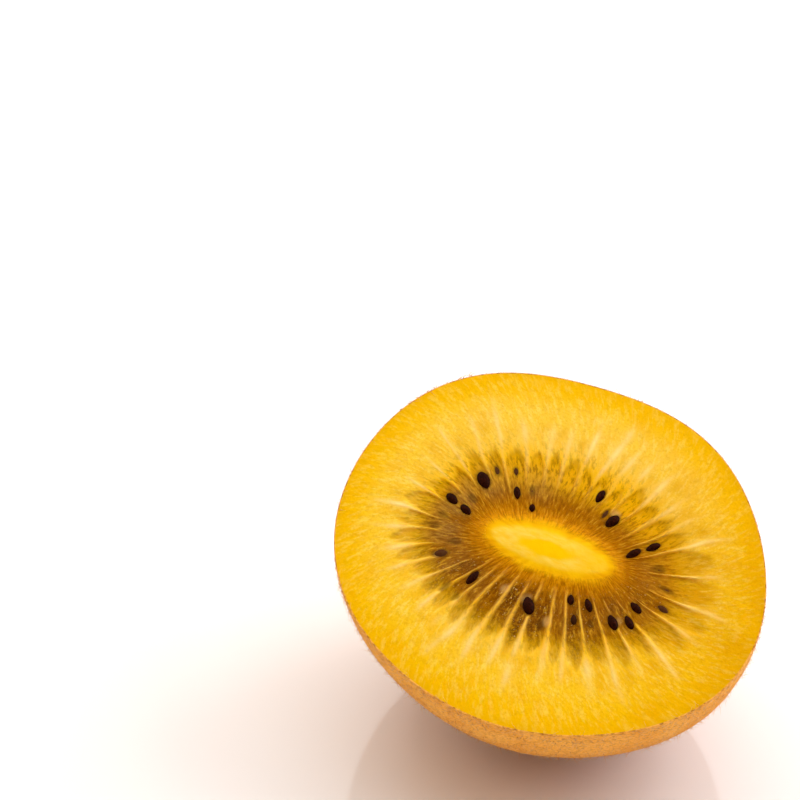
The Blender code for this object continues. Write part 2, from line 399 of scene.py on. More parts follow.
select_nothing()
bpy.ops.mesh.primitive_grid_add(x_subdivisions=COLUMNS, y_subdivisions=ROWS, size=2)
flesh = bpy.context.object
flesh.name = "flesh_cut"
sheet = read_points(flesh)
turn = (sheet[:, 0] + 1) * np.pi
reach = np.clip((sheet[:, 1] + 1) / 2, 0, 1)
degrees = np.degrees(turn)
circle = np.column_stack([np.cos(turn), np.sin(turn), reach])
place = face_points(turn, reach, FLESH_INSET)
pocket, share, to_ray, nearest = pocket_facts(turn, reach)
print("cut face", len(turn), "points")

# %% [markdown]
# Each ray is a little stronger or fainter than its neighbour and each pocket a little longer or shorter,
# drawn from a seeded random source. A pocket's tip is round, because its reach falls towards its walls.
# Its end is ragged and hazy, and there its wall shows as a thin darker line.

# %% Pockets
draw = np.random.default_rng(11)
ray_strength = draw.uniform(0.5, 1.0, len(RAYS))
ray_length = draw.uniform(0.72, 0.90, len(RAYS))
tip_shift = draw.uniform(-0.035, 0.035, len(RAYS))
gel_strength = draw.uniform(0.35, 1.0, len(RAYS))
spot_reach = draw.uniform(0.56, 0.68, len(RAYS))
spot_side = draw.uniform(0.35, 0.65, len(RAYS))
spot_strength = draw.uniform(0.2, 0.9, len(RAYS))

TIP_ARCH = 0.14
arch = TIP_ARCH * np.abs(2 * share - 1) ** 2.4
ripple = wander(circle * (14, 14, 6), 1.0, 3)
fine_ripple = wander(circle * (40, 40, 20), 1.0, 20)
haze = 0.025 + 0.07 * by_turn(degrees, SHADED_SIDE_TURNS)
tip = by_turn(degrees, POCKET_TIPS) + tip_shift[pocket] - arch + 0.045 * ripple + 0.02 * fine_ripple
start = by_turn(degrees, RAY_STARTS)
wall_thickness = (0.12 + 0.36 * smooth_step(reach, 0.28, 0.6)) * MM
wall = np.exp(-((to_ray / wall_thickness) ** 2)) * smooth_step(reach, start - 0.05, start + 0.15)
inside = 1 - wall
pocket_mask = inside * smooth_step(reach, 0.0, 0.09) * (1 - smooth_step(reach, tip - haze - 0.03, tip + haze))
rim_of_pocket = 4 * pocket_mask * (1 - pocket_mask) * smooth_step(reach, 0.30, 0.42)
rim_of_pocket *= np.clip(0.5 + 1.4 * wander(circle * (11, 11, 7), 1.0, 19), 0, 1)
print("pockets cover", round(float((pocket_mask > 0.5).mean()), 2), "of the points")

# %% [markdown]
# The gel fills only the inner part of a pocket. Tints lie over it: golden or greyish parts of the pockets,
# a round spot of deeper gold beyond each, and the mist of the outer flesh. Painted shade darkens one side
# of the fruit.

# %% Gel, spots, tints and painted shade
gel_tip = by_turn(degrees, GEL_TIPS) + tip_shift[pocket] - arch + 0.07 * ripple
gel_mask = inside * smooth_step(reach, 0.05, 0.16) * (1 - smooth_step(reach, gel_tip - 0.10, gel_tip + 0.05))
gel_mask *= gel_strength[pocket] * by_turn(degrees, GEL_AMOUNTS)
gel_mask *= 0.75 + 0.5 * wander(circle * (7, 7, 5), 1.0, 12)
spot = np.exp(-(((share - spot_side[pocket]) / 0.2) ** 2) - ((reach - spot_reach[pocket]) / 0.05) ** 2)
spot_mask = spot * spot_strength[pocket]
golden = by_turn(degrees, GOLDEN_TURNS) * smooth_step(reach, 0.16, 0.34) * pocket_mask
grey = by_turn(degrees, GREY_TURNS) * smooth_step(reach, 0.10, 0.22) * (1 - smooth_step(reach, 0.32, 0.48))
grey *= np.clip(0.5 + 1.1 * wander(circle * (6, 6, 5), 1.0, 16), 0, 1)
# Painted shade: one side of the cut face is coloured darker, as if less light fell on it.
painted_shade_side = np.clip(by_turn(degrees, SHADED_SIDE_TURNS) * (0.8 + 0.6 * wander(circle * (5, 5, 3), 1.0, 14)), 0, 1)
mist = by_turn(degrees, MIST_TURNS) * smooth_step(reach, 0.42, 0.56) * (1 - smooth_step(reach, 0.74, 0.92))
print("the strongest gel is", round(float(gel_mask.max()), 2))

# %% [markdown]
# The threads of the rays are finer than the mesh, so the mesh keeps two facts for them: how strong the
# ray is here, and how many of its widths away it lies. That second number changes its sign from pocket to
# pocket, so it passes straight through zero on each ray, and the material can draw a thread of any width.

# %% Threads of the rays
INNER_RAY = 0.13 * MM
MIDDLE_GAIN = 0.09 * MM
OUTER_GAIN = 0.10 * MM
FEATHER_WIDTH = 0.75 * MM

ray_width = INNER_RAY + MIDDLE_GAIN * smooth_step(reach, 0.15, 0.45)
ray_width += OUTER_GAIN * smooth_step(reach, 0.42, 0.72)
aside = to_ray / ray_width * np.where(pocket % 2 == 0, 1, -1)
ray_end = ray_length[nearest]
ray_fade = smooth_step(reach, start - 0.03, start + 0.2) * (1 - smooth_step(reach, ray_end - 0.25, ray_end))
ray = ray_fade * ray_strength[nearest] * np.clip(0.75 + 0.9 * wander(circle * (13, 13, 9), 1.0, 13), 0.1, 1.2)
feather = np.exp(-((to_ray / FEATHER_WIDTH) ** 2)) * ray * smooth_step(reach, 0.42, 0.62)
print("rays are from", round(ray_width.min() / MM, 2), "to", round(ray_width.max() / MM, 2), "mm wide")

# %% [markdown]
# ## Seeds
# The seeds are about 2 mm long and lie along their rays, some bare on the cut and some still under the
# gel. The list holds each seed's turn, reach, length and width in mm, how bare it is, and how many degrees
# it swings off its ray.

# %% Places of the seeds
SEEDS = (
    (5, 0.36, 2.3, 0.9, 0.25, -8), (19, 0.30, 2.0, 1.3, 0.2, 0), (33, 0.17, 2.2, 1.0, 0.95, 22),
    (36, 0.31, 2.0, 1.0, 1.0, 14), (63.5, 0.21, 2.2, 1.35, 1.0, 0), (70, 0.22, 2.0, 0.8, 0.4, 8),
    (79, 0.31, 2.0, 1.0, 0.9, 5), (114, 0.10, 1.1, 0.8, 0.85, 0), (115, 0.21, 1.8, 0.9, 0.2, 0),
    (124.5, 0.19, 1.8, 0.9, 0.85, 0), (124, 0.33, 1.6, 0.8, 0.45, 0), (134, 0.34, 2.1, 1.0, 0.4, 0),
    (143.5, 0.30, 2.6, 1.6, 1.0, 0), (158, 0.22, 1.8, 1.1, 0.15, 0), (170, 0.31, 1.9, 1.2, 1.0, -8),
    (170.5, 0.19, 1.8, 1.1, 0.9, -10), (185, 0.31, 1.8, 1.1, 0.1, 0), (195, 0.36, 1.9, 1.1, 0.15, 0),
    (207, 0.22, 1.9, 1.1, 0.1, 0), (215.5, 0.33, 2.2, 1.3, 0.45, 0), (235, 0.43, 2.0, 0.9, 0.2, 10),
    (238, 0.26, 2.3, 1.0, 0.85, 16), (242, 0.43, 1.6, 0.8, 0.15, 0), (273, 0.236, 2.5, 1.55, 1.0, 32),
    (282, 0.33, 1.7, 1.1, 0.2, 0), (297, 0.14, 1.4, 0.9, 0.9, 0), (299, 0.266, 1.4, 0.8, 0.7, 0),
    (308, 0.296, 1.4, 0.9, 0.2, 0), (309, 0.17, 1.9, 0.9, 0.8, 6), (321, 0.30, 2.2, 1.2, 0.95, 0),
    (330, 0.33, 2.0, 1.0, 0.9, -6), (340, 0.266, 1.9, 1.0, 0.85, 0), (352, 0.387, 2.0, 1.0, 0.45, 0),
)


def seed_place(turn_degrees, reach, swing):
    """Where a seed lies on the cut, the direction it points in, and the direction across it."""
    turn = np.radians([turn_degrees])
    inner = core_points(turn)[0]
    outward = rim_points(turn)[0] - inner
    angle = math.atan2(outward[1], outward[0]) + math.radians(swing)
    along = (math.cos(angle), math.sin(angle))
    across = (-math.sin(angle), math.cos(angle))
    return inner + outward * reach, along, across


print(len(SEEDS), "seeds,", sum(row[4] > 0.5 for row in SEEDS), "of them bare")

# %% [markdown]
# Under a seed the gel is sunk, and no ray is drawn. A seed deep in the gel shows through it as a dark blot,
# and round a bare seed the dark rim that reaches past its edge is painted shade. Where a drop of gel has run
# over the cut it has dried to a pale film. These drops are listed by their turn, reach and size in mm.

# %% Seed blots, painted shade and films
GEL_DROPS = (
    (66, 0.26, 0.9), (270, 0.20, 1.1), (324, 0.30, 0.9), (216, 0.36, 0.8), (256, 0.2, 0.9), (285, 0.30, 0.8),
)

seed_blot_and_shade = np.zeros(len(turn))
bed = np.zeros(len(turn))
for seed_turn, seed_reach, length, width, bare, swing in SEEDS:
    middle, along, across = seed_place(seed_turn, seed_reach, swing)
    offset = (place - middle) / MM
    size = np.hypot(offset @ along / (length / 2), offset @ across / (width / 2))
    size = size + 0.25 * wander(np.column_stack([offset, offset[:, 0] * 0]), 1.6, 15)
    # Painted shade: a bare seed's dark mark reaches past its edge as a rim of shade; a deep seed gets a
    # fainter blot.
    seed_blot_and_shade = np.maximum(seed_blot_and_shade, (0.35 + 0.6 * bare) * (1 - smooth_step(size, 0.6, 1.3)))
    bed = np.maximum(bed, smooth_step(bare, -0.1, 0.4) * (1 - smooth_step(size, 1.0, 1.6)))
ray *= 1 - bed
pocket_mask = np.maximum(pocket_mask, bed)
film = np.zeros(len(turn))
for drop_turn, drop_reach, drop_size in GEL_DROPS:
    offset = np.linalg.norm(place - seed_place(drop_turn, drop_reach, 0)[0], axis=1) / MM
    film = np.maximum(film, 1 - smooth_step(offset + 0.3 * ripple, 0.2 * drop_size, drop_size))
print("stained points", int((seed_blot_and_shade > 0.5).sum()), "and points under a film", int((film > 0.5).sum()))

# %% [markdown]
# A knife can't cut soft gel level: the pockets sink, the rays stand up as fine ridges, and the torn cells
# leave a grain. A texture would do from above, but in a low light only real height looks wet and uneven.
# Towards the core and the skin the face runs level, so that the pieces meet.

# %% Give the face its relief
POCKET_SINK = 0.28
RIDGE_RISE = 0.05
GRAIN_RISE = 0.03
SWELL_RISE = 0.07
SWELLS_PER_MM = 0.12

grain = wander(circle * (60, 60, 14), 1.0, 4)
swell = wander(np.column_stack([place, np.zeros(len(place))]) / MM, SWELLS_PER_MM, 5)
ridge = ray * np.exp(-(aside**2))
height = (RIDGE_RISE * ridge - POCKET_SINK * pocket_mask + GRAIN_RISE * grain + SWELL_RISE * swell) * MM
height *= smooth_step(reach, 0.0, 0.03) * (1 - smooth_step(reach, 0.97, 1.0))
write_points(flesh, np.column_stack([place, height]))
print("the face's relief is", round(float(np.ptp(height)) / MM, 2), "mm deep")

# %% [markdown]
# All that is known of each place is now kept on the mesh. The flow is a place on a tube: once round it is
# once round the fruit, and along it is the reach. Noise on the flow is drawn out along the rays.

# %% Keep the facts for the materials
FLOW_SWEEP = 0.35
outside = core_distance(place)[0]
facts = {
    "reach": reach, "pocket": pocket_mask, "pocket_rim": rim_of_pocket, "gel": gel_mask, "ray": ray,
    "aside": aside, "feather": feather, "spot": spot_mask, "golden": golden, "grey": grey,
    "painted_shade_side": painted_shade_side, "mist": mist, "seed_blot_and_shade": seed_blot_and_shade, "film": film, "glow": core_glow(place),
    "clear": smooth_step(outside, 0.1, 1.6) * (1 - smooth_step(reach, 0.93, 0.99)),
}
for name, values in facts.items():
    keep_fact(flesh, name, values)
slanted = turn - FLOW_SWEEP * np.clip(reach - 0.35, 0, 1)
keep_fact(flesh, "flow", np.column_stack([np.cos(slanted), np.sin(slanted), reach]))
print(len(facts) + 1, "facts are kept on the flesh")

# %% [markdown]
# The disc is then closed below, so that it is one solid body: the rim is extruded down in steps that
# follow the bowl, and the hole's edge is extruded down into the hollow that holds the core.

# %% Close the flesh below
FLESH_FLOOR = 0.6 * MM
CORE_DEPTH = 28 * MM
SIDE_GAP = 0.2 * MM
BOWL_LEVELS = [step / 14 for step in range(1, 13)] + [0.89, 0.92, 0.95, 0.97]
HOLLOW_LEVELS = [0.1, 0.5, 0.8, 0.95]


def extrude_down(levels, depth, first_squeeze):
    """Extrudes the selected ring down the bowl's curve, level by level, and closes its end."""
    last_wide = 1.0
    last_deep = 0.0
    for now_wide, now_deep in zip(*bowl_level(np.array(levels))):
        now_wide *= first_squeeze
        drop = -depth * (now_deep - last_deep)
        bpy.ops.mesh.extrude_region_move(TRANSFORM_OT_translate={"value": (0, 0, drop)})
        ratio = now_wide / last_wide
        bpy.ops.transform.resize(value=(ratio, ratio, 1), center_override=(0, 0, 0))
        last_wide = now_wide
        last_deep = now_deep
    bpy.ops.mesh.edge_face_add()


bpy.ops.object.mode_set(mode="EDIT")
bpy.ops.mesh.select_all(action="SELECT")
bpy.ops.mesh.remove_doubles(threshold=1e-7)
select_ring(flesh, lambda: read_fact(flesh, "reach") > 1 - 1e-6)
extrude_down(BOWL_LEVELS, HALF_LENGTH - FLESH_FLOOR, 1 - SIDE_GAP / SHORT_RADIUS)
select_ring(flesh, lambda: read_fact(flesh, "reach") < 1e-6)
extrude_down(HOLLOW_LEVELS, CORE_DEPTH, 1.0)
bpy.ops.object.mode_set(mode="OBJECT")
press_flat(flesh, FLESH_FLOOR)
settle(flesh)
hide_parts("flesh")

# %% [markdown]
# ## Core
# The core is the pale, firm pith in the middle of the fruit. An extruded oval would do, but its cap would
# be a single face. So it is rolled from a grid too, out from its centre, with a low crown and shallow
# dimples, and it runs down inside the flesh. It is a hair narrower than its hollow, so the two don't touch.

# %% Shape the core
CORE_CROWN = 0.2 * MM
CORE_DIMPLE = 0.04 * MM
CORE_FIT = 0.9995
CORE_GAP = 0.3 * MM

select_nothing()
bpy.ops.mesh.primitive_grid_add(x_subdivisions=360, y_subdivisions=60, size=2)
core = bpy.context.object
core.name = "pith_core"
sheet = read_points(core)
turn = (sheet[:, 0] + 1) * np.pi
share = np.clip((sheet[:, 1] + 1) / 2, 0, 1)
place = core_points(turn, CORE_FIT) * share[:, None]
dimple = CORE_DIMPLE * wander(np.column_stack([place, np.zeros(len(place))]) / MM, 0.6, 6, octaves=2)
crown = (CORE_CROWN * (1 - share**2) + dimple) * (1 - share**8)
write_points(core, np.column_stack([place, crown]))
keep_fact(core, "share", share)
keep_fact(core, "glow", core_glow(place))
keep_fact(core, "lens", core_lens(place))
inside = -core_distance(place)[0]
keep_fact(core, "clear", smooth_step(inside, 0.1, 1.2))
far_end = smooth_step(core_frame(place)[0] / MM, 2.0, 6.0)
keep_fact(core, "pale", smooth_step(inside, 0.5, 1.4) * (1 - 0.6 * far_end))
bpy.ops.object.mode_set(mode="EDIT")
bpy.ops.mesh.select_all(action="SELECT")
bpy.ops.mesh.remove_doubles(threshold=1e-7)
select_ring(core, lambda: read_fact(core, "share") > 1 - 1e-6)
extrude_down(HOLLOW_LEVELS, CORE_DEPTH - CORE_GAP, CORE_FIT)
bpy.ops.object.mode_set(mode="OBJECT")
settle(core)
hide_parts("core")

# %% [markdown]
# ## Seed
# One seed is modelled: a ball, squeezed at the end by which it hung on the core, with a slight keel. It is
# copied to each place of the list, turned along its ray, and stretched to its own size. All the seeds are
# one piece, and each has its own mesh in it. A bare seed stands out of the gel, and a deep one just shows.

# %% Model one seed
SEED_HEIGHT = 0.7 * MM
SEED_NECK = 0.22
SEED_KEEL = 0.10

select_nothing()
bpy.ops.mesh.primitive_uv_sphere_add(segments=18, ring_count=12, radius=0.5, rotation=(0, math.pi / 2, 0))
seed = bpy.context.object
bpy.ops.object.transform_apply(rotation=True)
seed_shape = read_points(seed)
neck = 1 - SEED_NECK * smooth_step(-seed_shape[:, 0], 0.0, 0.5)
seed_shape[:, 1] *= neck
seed_shape[:, 2] *= neck * (1 + SEED_KEEL * np.exp(-((seed_shape[:, 1] / 0.12) ** 2)))
seed_faces = [list(face.vertices) for face in seed.data.polygons]
bpy.data.objects.remove(seed)
print("one seed has", len(seed_faces), "faces")

# %% [markdown]
# Copies of a small shape are gathered in one mesh. Duplicating and joining by hand would give the same, but
# for thousands of hairs that is slow, so the copies' points and faces are listed and the mesh made once.

# %% Copy the seed to its places
def copy_shape(name, shape, faces, placed, facts):
    """Makes one piece of many copies: placed holds the points of each, and facts a value for each."""
    count = len(placed)
    mesh = bpy.data.meshes.new(name)
    all_faces = [[corner + n * len(shape) for corner in face] for n in range(count) for face in faces]
    mesh.from_pydata(np.concatenate(placed).tolist(), [], all_faces)
    piece = bpy.data.objects.new(name, mesh)
    bpy.context.collection.objects.link(piece)
    for fact, values in facts.items():
        keep_fact(piece, fact, np.repeat(values, len(shape)) if len(values) == count else values)
    select_nothing()
    piece.select_set(True)
    bpy.context.view_layer.objects.active = piece
    return piece


placed = []
for seed_turn, seed_reach, length, width, bare, swing in SEEDS:
    middle, along, across = seed_place(seed_turn, seed_reach, swing)
    size = (length * MM, width * MM, min(SEED_HEIGHT, width * MM * 0.6))
    shown = 0.65 * size[2] * smooth_step(bare, 0.1, 0.9) - 0.04 * MM
    points = seed_shape * size
    points = np.column_stack([points[:, :2] @ np.array([along, across]), points[:, 2]])
    placed.append(points + (*middle, -POCKET_SINK * MM + shown - size[2] / 2))
bareness = [bare for _, _, _, _, bare, _ in SEEDS]
seeds = copy_shape("seeds", seed_shape, seed_faces, placed, {"bare": bareness})
settle(seeds)

# %% [markdown]
# ## Hairs
# This skin carries short, soft hairs, most of them rubbed down flat. A hair particle system could grow
# them, but it leaves curves and not a mesh. So one hair is modelled: a three-sided cone with a cut across
# it at 0.45 of its length, where it can bend.

# %% Model one hair
select_nothing()
bpy.ops.mesh.primitive_cone_add(vertices=3, radius1=0.5, radius2=0.08, depth=1, location=(0, 0, 0.5))
hair = bpy.context.object
bpy.ops.object.transform_apply(location=True)
bpy.ops.object.mode_set(mode="EDIT")
bpy.ops.mesh.select_all(action="SELECT")
bpy.ops.mesh.bisect(plane_co=(0, 0, 0.45), plane_no=(0, 0, 1))
bpy.ops.object.mode_set(mode="OBJECT")
hair_shape = read_points(hair)
hair_faces = [list(face.vertices) for face in hair.data.polygons]
bpy.data.objects.remove(hair)
print("one hair has", len(hair_faces), "faces")

# %% [markdown]
# The hairs' roots are drawn at random from the skin's outer faces, with a seed, so that each run gives the
# same fur. Blender doesn't list a mesh's faces in the same order each time, but it does number the points
# so, and the faces are sorted by them first. A face's chance grows with its area, and near the rim, where
# nothing rubs, with a bonus. Each hair gets a way to lie, a length and a lean.

# %% Scatter the hairs' roots
HAIR_COUNT = 9000
RIM_HAIRS = 2.5
RIM_BAND = 2.0  # mm
BARE_SPOT = 0.2 * MM


def sorted_triangles(piece):
    """The piece's faces as triangles of point numbers, in the same order in each run."""
    rings = []
    for face in piece.data.polygons:
        ring = list(face.vertices)
        first = ring.index(min(ring))
        rings.append(ring[first:] + ring[:first])
    return np.array([(ring[0], *ring[n : n + 2]) for ring in sorted(rings) for n in range(1, len(ring) - 1)])


draw = np.random.default_rng(23)
corners = read_points(skin)[sorted_triangles(skin)]
normals = np.cross(corners[:, 1] - corners[:, 0], corners[:, 2] - corners[:, 0])
areas = np.linalg.norm(normals, axis=1)
normals = normals / np.maximum(areas, 1e-20)[:, None]
middle = np.array(FRUIT @ Vector((0, 0, -HALF_LENGTH * 0.4)))
outer = ((corners.mean(1) - middle) * normals).sum(1) > 0
outer &= corners[:, :, 2].min(1) > BARE_SPOT
below_rim = (np.array(FACE_CENTRE) - corners.mean(1)) @ np.array(FRUIT.to_3x3())[:, 2] / MM
chance = areas * outer * (1 + RIM_HAIRS * np.exp(-((below_rim / RIM_BAND) ** 2)))
chosen = draw.choice(len(areas), HAIR_COUNT, p=chance / chance.sum())
corner_shares = draw.dirichlet((1, 1, 1), HAIR_COUNT)
roots = (corners[chosen] * corner_shares[:, :, None]).sum(1)
normals = normals[chosen]
lie = np.cross(normals, draw.normal(size=(HAIR_COUNT, 3)))
lie /= np.linalg.norm(lie, axis=1)[:, None]
length = draw.gamma(4, 0.13, HAIR_COUNT).clip(0.2, 1.3) * MM
lean = np.radians(draw.uniform(25, 80, HAIR_COUNT))
print("the hairs are", round(length.mean() / MM, 2), "mm long on average")

# %% [markdown]
# Each hair stands on its root, leans over by its angle and bends further with its height. One that would
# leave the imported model's box is laid flat, so that the fruit keeps its size.

# %% Place the hairs
HAIR_WIDTH = 0.06 * MM
HAIR_BEND = 0.35
HAIR_ROOT = 0.05 * MM

across = np.cross(normals, lie)
box_low, box_high = np.array(cad_box)
rise = hair_shape[:, 2:]
placed = []
for n in range(HAIR_COUNT):
    up = normals[n] * math.cos(lean[n]) + lie[n] * math.sin(lean[n])
    reach_out = roots[n] + up * length[n]
    if (reach_out < box_low).any() or (reach_out > box_high).any():
        up = lie[n]
    bend = lie[n] * length[n] * HAIR_BEND
    side_way = np.cross(up, across[n])
    points = hair_shape[:, :1] * HAIR_WIDTH * across[n] + hair_shape[:, 1:2] * HAIR_WIDTH * side_way
    points = roots[n] + points + up * rise * length[n] + bend * rise**2 - normals[n] * HAIR_ROOT
    placed.append(np.clip(points, box_low, box_high))
along_hair = np.tile(hair_shape[:, 2], HAIR_COUNT)
hairs = copy_shape("skin_hairs", hair_shape, hair_faces, placed, {"along": along_hair})
bpy.ops.object.shade_smooth()
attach(hairs, "root")
print(HAIR_COUNT, "hairs of", len(hair_faces), "faces")

# %% [markdown]
# The knife leaves a few longer hairs standing in tufts at the rim, and they dry into curls. A curl is a
# four-sided cone, cut by six planes into seven short lengths so that it can wind.

# %% Model one curled hair
CURL_CUTS = np.arange(1, 7) / 7

select_nothing()
bpy.ops.mesh.primitive_cone_add(vertices=4, radius1=0.5, radius2=0.15, depth=1, location=(0, 0, 0.5))
curl = bpy.context.object
bpy.ops.object.transform_apply(location=True)
bpy.ops.object.mode_set(mode="EDIT")
for cut in CURL_CUTS:
    bpy.ops.mesh.select_all(action="SELECT")
    bpy.ops.mesh.bisect(plane_co=(0, 0, cut), plane_no=(0, 0, 1))
bpy.ops.object.mode_set(mode="OBJECT")
curl_shape = read_points(curl)
curl_faces = [list(face.vertices) for face in curl.data.polygons]
bpy.data.objects.remove(curl)
print("one curl has", len(curl_faces), "faces")

# %% [markdown]
# Each tuft has three curls, which start at the rim and wind along an arc in the plane of the cut, rising a
# little. The list holds each tuft's turn in degrees and its size in mm.

# %% Curled tufts on the rim
TUFTS = (
    (87, 0.5), (134, 1.3), (137, 0.8), (141, 0.5), (145, 0.9), (147, 0.7), (150.5, 0.8), (154, 0.7),
    (157, 0.5), (166, 0.4), (205, 0.4), (213, 0.6), (216, 0.5), (220, 0.6), (224, 0.5), (229, 0.4),
    (315, 0.3), (338, 0.4),
)
STRANDS = 3
CURL_WIDTH = 0.10 * MM
CURL_RISE = 0.12
CURL_ROOT = 0.1 * MM

placed = []
for tuft_turn, tuft_size in TUFTS:
    for strand in range(STRANDS):
        angle = np.radians([tuft_turn + draw.uniform(-0.7, 0.7)])
        root = rim_points(angle, HAIR_ROOT)[0]
        out = rim_points(angle)[0] / np.linalg.norm(rim_points(angle)[0])
        side_way = np.array([-out[1], out[0]]) * draw.choice((-1, 1))
        size = tuft_size * draw.uniform(0.5, 1.0) * MM
        bend = draw.uniform(1.2, 3.0)
        along = curl_shape[:, 2:] * bend
        spine = out * np.sin(along) / bend + side_way * (1 - np.cos(along)) / bend
        across = out * np.sin(along) - side_way * np.cos(along)
        flat = root + spine * size + across * curl_shape[:, :1] * CURL_WIDTH
        rise = curl_shape[:, 1:2] * CURL_WIDTH + along * CURL_RISE * size - CURL_ROOT
        placed.append(np.column_stack([flat, rise]))
along_curl = np.tile(curl_shape[:, 2], len(placed))
tufts = copy_shape("rim_tufts", curl_shape, curl_faces, placed, {"along": along_curl})
settle(tufts)
write_points(tufts, np.clip(read_points(tufts), box_low, box_high))
print(len(placed), "curled hairs in", len(TUFTS), "tufts")

# %% [markdown]
# ## Tools for materials
# Colours are written as they look on a screen, in sRGB hex, and turned to linear light once. One small
# function adds a node with its settings and its links. A finish is a ground colour with coats over it:
# each coat has a pattern, a strength or a zone where it shows, and a colour.

# %% Tools for materials
def hex_colour(code):
    """Linear colour of an sRGB hex code."""
    parts = [int(code[n : n + 2], 16) / 255 for n in (0, 2, 4)]
    return (*[p / 12.92 if p <= 0.04045 else ((p + 0.055) / 1.055) ** 2.4 for p in parts], 1.0)


def plug(tree, source, socket):
    """Links a node's first output, or one given output, to a socket."""
    if isinstance(source, bpy.types.Node):
        source = next(output for output in source.outputs if not output.is_unavailable)
    tree.links.new(source, socket)


def add(tree, kind, inputs, **settings):
    """Adds a node. An input is a value, or a node to link from, or one of a node's outputs."""
    made = tree.nodes.new("ShaderNode" + kind)
    for setting, value in settings.items():
        setattr(made, setting, value)
    for key, value in inputs.items():
        socket = made.inputs[key] if isinstance(key, int) else next(
            s for s in made.inputs if key in (s.identifier, s.name) and not s.is_unavailable
        )
        if isinstance(value, (bpy.types.Node, bpy.types.NodeSocket)):
            plug(tree, value, socket)
        else:
            socket.default_value = value
    return made


def new_material(name, facts=()):
    """A material's node tree, its shader, and the facts that it reads from the points."""
    material = bpy.data.materials.new(name)
    material.use_nodes = True
    tree = material.node_tree
    known = {fact: add(tree, "Attribute", {}, attribute_name=fact).outputs["Fac"] for fact in facts}
    return material, tree, tree.nodes["Principled BSDF"], known


def speckle(tree, place, size, low, high, strength=1.0):
    """A mask of specks of about this size in mm: 0 where the noise is at low, full strength from high on."""
    noise = add(tree, "TexNoise", {"Vector": place, "Scale": 1 / size, "Detail": 3.0, "Roughness": 0.65})
    return add(tree, "MapRange", {"Value": noise, "From Min": low, "From Max": high, "To Max": strength})


def lay_coats(tree, colour, coats):
    """Lays coats over a colour, first to last: the pattern, how strong it is or its zone, and its hex."""
    for pattern, strength, code in coats:
        mask = add(tree, "Math", {0: pattern, 1: strength}, operation="MULTIPLY")
        colour = add(
            tree, "Mix", {"Factor_Float": mask, "A_Color": colour, "B_Color": hex_colour(code)},
            data_type="RGBA",
        )
    return colour


def finish(tree, shader, linked, values):
    """Plugs what changes over the surface into the shader, and sets what is the same all over."""
    for socket, source in linked.items():
        plug(tree, source, shader.inputs[socket])
    for socket, value in values.items():
        shader.inputs[socket].default_value = value
    print("a finish of", len(tree.nodes), "nodes")


# %% [markdown]
# ## Material of the flesh
# Wet fruit flesh is a mass of clear, juicy cells: light goes a few millimetres in and comes back golden,
# and the film of juice on the cut gives a soft shine. Two ramps over the reach give the ground colours,
# one for the firm flesh and one for the pockets, and the pocket mask chooses between them.

# %% Flesh material: ground colours
cut_flesh, tree, shader, facts = new_material("wet_golden_kiwi_flesh", (
    "reach", "pocket", "pocket_rim", "gel", "ray", "aside", "feather", "spot", "golden", "grey", "painted_shade_side",
    "mist", "seed_blot_and_shade", "film", "glow", "clear",
))
flow = add(tree, "Attribute", {}, attribute_name="flow").outputs["Vector"]
fruit = add(tree, "Attribute", {}, attribute_name="fruit").outputs["Vector"]
FIRM_STOPS = (
    (0.0, "E49A00"), (0.10, "D08A00"), (0.25, "E8AC00"), (0.42, "F4BA08"), (0.58, "FAC818"),
    (0.72, "FBCA18"), (0.84, "F9C606"), (0.94, "F6BE00"), (1.0, "F0B400"),
)
POCKET_STOPS = (
    (0.0, "E49A00"), (0.07, "C67F00"), (0.13, "AC6C00"), (0.25, "9A5C00"), (0.36, "A86A00"),
    (0.46, "CA9800"), (0.58, "E0AA00"), (0.72, "ECB400"),
)
ramps = []
for stops in (FIRM_STOPS, POCKET_STOPS):
    ramp = add(tree, "ValToRGB", {"Fac": facts["reach"]})
    elements = ramp.color_ramp.elements
    for position, code in stops[2:]:
        elements.new(position)
    for element, (position, code) in zip(elements, stops):
        element.position = position
        element.color = hex_colour(code)
    ramps.append(ramp)
mixed = {"Factor_Float": facts["pocket"], "A_Color": ramps[0], "B_Color": ramps[1]}
ground = add(tree, "Mix", mixed, data_type="RGBA")
print("ground colours from", len(ramps), "ramps")

# %% [markdown]
# Noises break up the colours. Their sizes are those of the real marks: broad clouds some 4 mm wide, flecks
# of 0.5 by 1.5 mm that are drawn out along the flow of the cells, round blots of 0.9 mm, strokes of about
# 0.24 by 1.1 mm in the pockets, and the grain of single cells, 0.35 mm. A Mapping node draws a noise out
# along the rays: the flow runs once round a circle of radius 1, and from 0 at the core to 1 at the skin,
# some 20 mm away. The radius is how far from the middle the marks lie, so that they are as wide as that.

# %% Flesh material: its patterns
ALONG_MM = 20.0
FLECKS_MM = (20.0, 0.50, 1.5)  # radius, width and length
STROKES_MM = (9.0, 0.24, 1.1)

